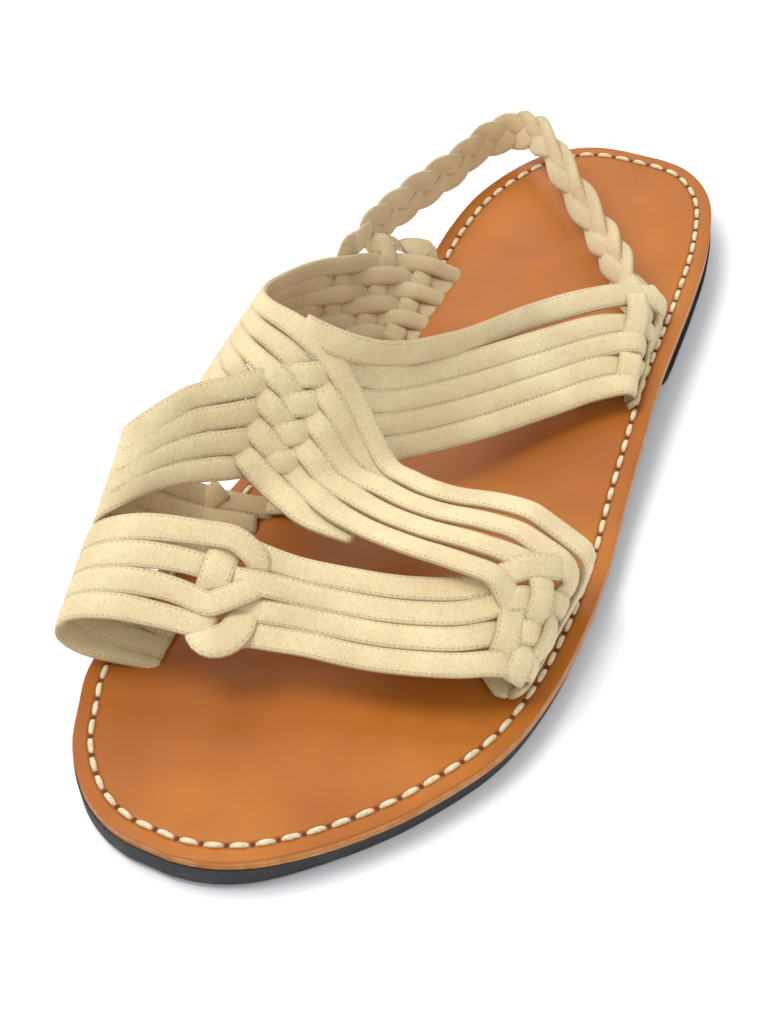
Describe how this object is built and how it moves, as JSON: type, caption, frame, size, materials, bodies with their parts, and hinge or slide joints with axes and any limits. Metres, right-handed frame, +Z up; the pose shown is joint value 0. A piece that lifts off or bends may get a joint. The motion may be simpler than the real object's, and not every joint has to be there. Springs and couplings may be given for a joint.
{
  "type": "huarache sandal",
  "caption": "Left huarache sandal with woven flat straps over toes and instep, a braided heel sling, leather insole and thin rubber sole with a low heel.",
  "frame": {"origin": "middle of the overall width and length, on the floor under the sole", "axes": "+Y from the toe to the heel, +X to the outer side of the left foot, +Z up"},
  "size_m": [0.1096, 0.271, 0.0614],
  "materials": {
    "rubber": "matt, finely textured",
    "insole_leather": "smooth, slightly glossy",
    "strap_fabric": "ribbed woven tape"
  },
  "bodies": {
    "root": {"rubber_outsole": "rubber", "rubber_heel_lift": "rubber", "leather_insole": "insole_leather", "strap_upper": "strap_fabric"}
  },
  "joints": []
}
